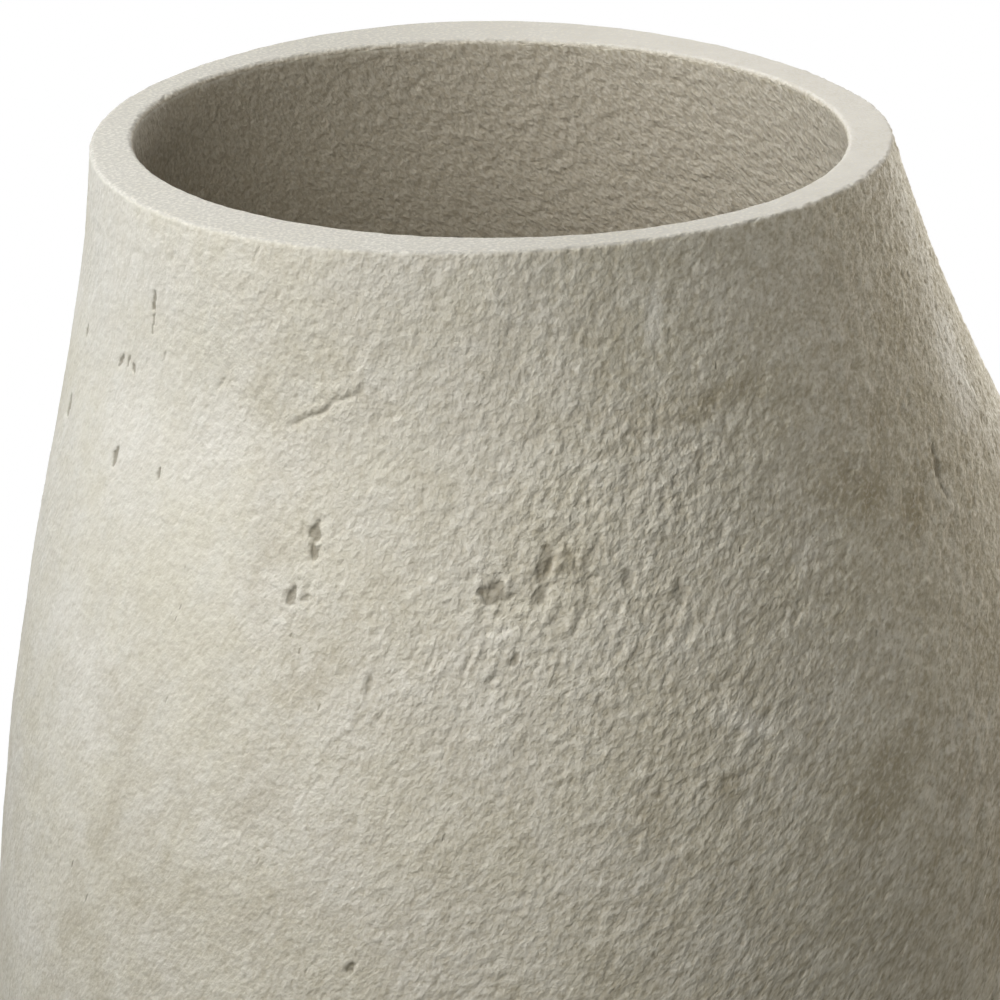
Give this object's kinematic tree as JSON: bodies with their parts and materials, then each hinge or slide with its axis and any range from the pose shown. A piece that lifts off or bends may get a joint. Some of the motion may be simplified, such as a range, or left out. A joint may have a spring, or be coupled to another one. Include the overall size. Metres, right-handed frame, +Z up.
{
  "type": "flower pot",
  "caption": "Large round clay flower pot with a lopsided swelling body, a thick flat rim, a drain hole with a lift-out rubber plug, and rubber pads under the foot.",
  "frame": {"origin": "on the ground, under the centre of the belly, the drain hole and the foot", "axes": "+Z up; -X towards the side that the mouth stands off to; -Y to the front, as in the picture"},
  "size_m": [0.5356, 0.5356, 0.64],
  "materials": {
    "clay": "matt, rough and pitted, unglazed",
    "rubber": "matt black"
  },
  "bodies": {
    "pot": {"pot_shell": "clay", "foot_pad_front_left": "rubber", "foot_pad_front_right": "rubber", "foot_pad_back_left": "rubber", "foot_pad_back_right": "rubber"},
    "plug": {"drain_plug": "rubber"}
  },
  "joints": [
    {"name": "plug_lift", "type": "slide", "parent": "pot", "child": "plug", "axis": [0, 0, 1], "range_m": [0, 0.64]}
  ]
}
